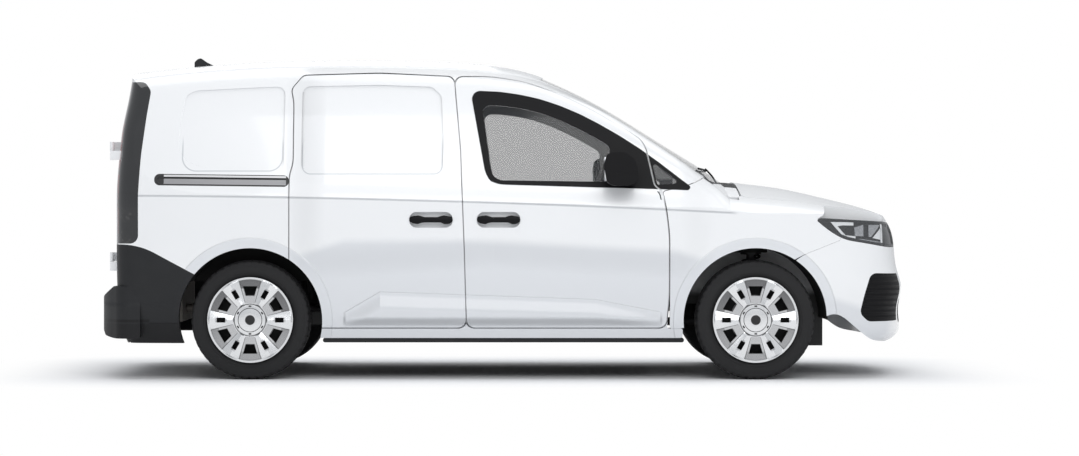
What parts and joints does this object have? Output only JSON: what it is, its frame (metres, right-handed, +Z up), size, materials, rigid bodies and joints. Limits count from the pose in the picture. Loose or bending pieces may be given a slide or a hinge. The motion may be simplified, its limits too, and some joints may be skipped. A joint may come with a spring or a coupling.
{
  "type": "compact panel van",
  "caption": "Compact white panel van with a short sloping bonnet, blind load-space sides, side and rear doors, steel wheels with spoked covers and black lower trim.",
  "frame": {"origin": "on the ground, at the middle of the length and the width", "axes": "+X is forward, +Y is the van's left, +Z is up"},
  "size_m": [4.5009, 2.1, 1.7971],
  "materials": {
    "white_paint": "gloss white paint",
    "black_plastic": "grained black plastic",
    "dark_steel": "satin black coated steel",
    "inner_paint": "satin primer",
    "wheel_silver": "satin silver paint",
    "tyre": "moulded rubber",
    "window_glass": "clear glass",
    "lamp_clear": "clear cover over reflectors",
    "lamp_red": "smoked red lens",
    "seat_fabric": "woven cloth",
    "rail_silver": "satin",
    "engine_metal": "cast",
    "wheel_grip": "grained"
  },
  "bodies": {
    "body": {"antenna": "black_plastic", "body_side_left": "white_paint", "body_side_right": "white_paint", "bulkhead": "inner_paint", "cowl": "inner_paint", "dashboard": "black_plastic", "engine_bay": "inner_paint", "engine_block": "engine_metal", "floor_pan": "inner_paint", "front_bumper": "white_paint", "front_subframe": "dark_steel", "grille": "black_plastic", "headlamps": "lamp_clear", "quarter_glass": "window_glass", "quarter_trims": "black_plastic", "radiator": "engine_metal", "rear_axle": "dark_steel", "rear_bumper": "black_plastic", "rear_hinges": "white_paint", "roof_panel": "white_paint", "scuttle": "black_plastic", "seats": "seat_fabric", "side_skirts": "black_plastic", "slide_handles": "black_plastic", "slide_rails": "rail_silver", "sliding_doors": "white_paint", "struts": "dark_steel", "tail_lamps": "lamp_red", "underbody": "dark_steel", "windscreen": "window_glass", "wings": "white_paint"},
    "bonnet": {"bonnet": "white_paint"},
    "front_door_left": {"front_door_left": "white_paint", "door_glass_left": "window_glass", "mirror_handle_left": "black_plastic"},
    "front_door_right": {"front_door_right": "white_paint", "door_glass_right": "window_glass", "mirror_handle_right": "black_plastic"},
    "rear_door_left": {"rear_door_left": "white_paint", "rear_glass_left": "window_glass"},
    "rear_door_right": {"rear_door_right": "white_paint", "rear_glass_right": "window_glass"},
    "fuel_flap": {"fuel_flap": "white_paint"},
    "knuckle_left": {"knuckle_left": "dark_steel"},
    "knuckle_right": {"knuckle_right": "dark_steel"},
    "wheel_front_left": {"wheel_front_left": "wheel_silver", "tyre_front_left": "tyre"},
    "wheel_front_right": {"wheel_front_right": "wheel_silver", "tyre_front_right": "tyre"},
    "wheel_rear_left": {"wheel_rear_left": "wheel_silver", "tyre_rear_left": "tyre"},
    "wheel_rear_right": {"wheel_rear_right": "wheel_silver", "tyre_rear_right": "tyre"},
    "steering_wheel": {"steering_wheel": "wheel_grip"}
  },
  "joints": [
    {"name": "steer_left", "type": "hinge", "parent": "body", "child": "knuckle_left", "pos_m": [1.363, 0.7, 0.326], "axis": [0, 0, 1], "range_deg": [-36, 36]},
    {"name": "steer_right", "type": "hinge", "parent": "body", "child": "knuckle_right", "pos_m": [1.363, -0.7, 0.326], "axis": [0, 0, 1], "range_deg": [-36, 36]},
    {"name": "steering_wheel_turn", "type": "hinge", "parent": "body", "child": "steering_wheel", "pos_m": [0.5, 0.4, 0.985], "axis": [-0.9063, 0, 0.4226], "range_deg": [-504, 504]},
    {"name": "spin_front_left", "type": "hinge", "parent": "knuckle_left", "child": "wheel_front_left", "pos_m": [1.363, 0.79, 0.326], "axis": [0, 1, 0], "continuous": true},
    {"name": "spin_front_right", "type": "hinge", "parent": "knuckle_right", "child": "wheel_front_right", "pos_m": [1.363, -0.79, 0.326], "axis": [0, 1, 0], "continuous": true},
    {"name": "spin_rear_left", "type": "hinge", "parent": "body", "child": "wheel_rear_left", "pos_m": [-1.392, 0.79, 0.326], "axis": [0, 1, 0], "continuous": true},
    {"name": "spin_rear_right", "type": "hinge", "parent": "body", "child": "wheel_rear_right", "pos_m": [-1.392, -0.79, 0.326], "axis": [0, 1, 0], "continuous": true},
    {"name": "front_door_left_swing", "type": "hinge", "parent": "body", "child": "front_door_left", "pos_m": [0.892, 0.9255, 0.62], "axis": [0, 0, -1], "range_deg": [0, 68]},
    {"name": "front_door_right_swing", "type": "hinge", "parent": "body", "child": "front_door_right", "pos_m": [0.892, -0.9255, 0.62], "axis": [0, 0, 1], "range_deg": [0, 68]},
    {"name": "rear_door_left_swing", "type": "hinge", "parent": "body", "child": "rear_door_left", "pos_m": [-2.165, 0.752, 0.9], "axis": [0, 0, -1], "range_deg": [0, 180]},
    {"name": "rear_door_right_swing", "type": "hinge", "parent": "body", "child": "rear_door_right", "pos_m": [-2.165, -0.752, 0.9], "axis": [0, 0, 1], "range_deg": [0, 180]},
    {"name": "bonnet_lift", "type": "hinge", "parent": "body", "child": "bonnet", "pos_m": [1.298, 0, 1.084], "axis": [0, -1, 0], "range_deg": [0, 55]},
    {"name": "fuel_flap_swing", "type": "hinge", "parent": "body", "child": "fuel_flap", "pos_m": [-1.424, 0.9245, 0.898], "axis": [0, 0, -1], "range_deg": [0, 100]}
  ],
  "couplings": [
    {"joint": "steer_right", "follows": "steer_left", "ratio": 1},
    {"joint": "steering_wheel_turn", "follows": "steer_left", "ratio": 14}
  ]
}
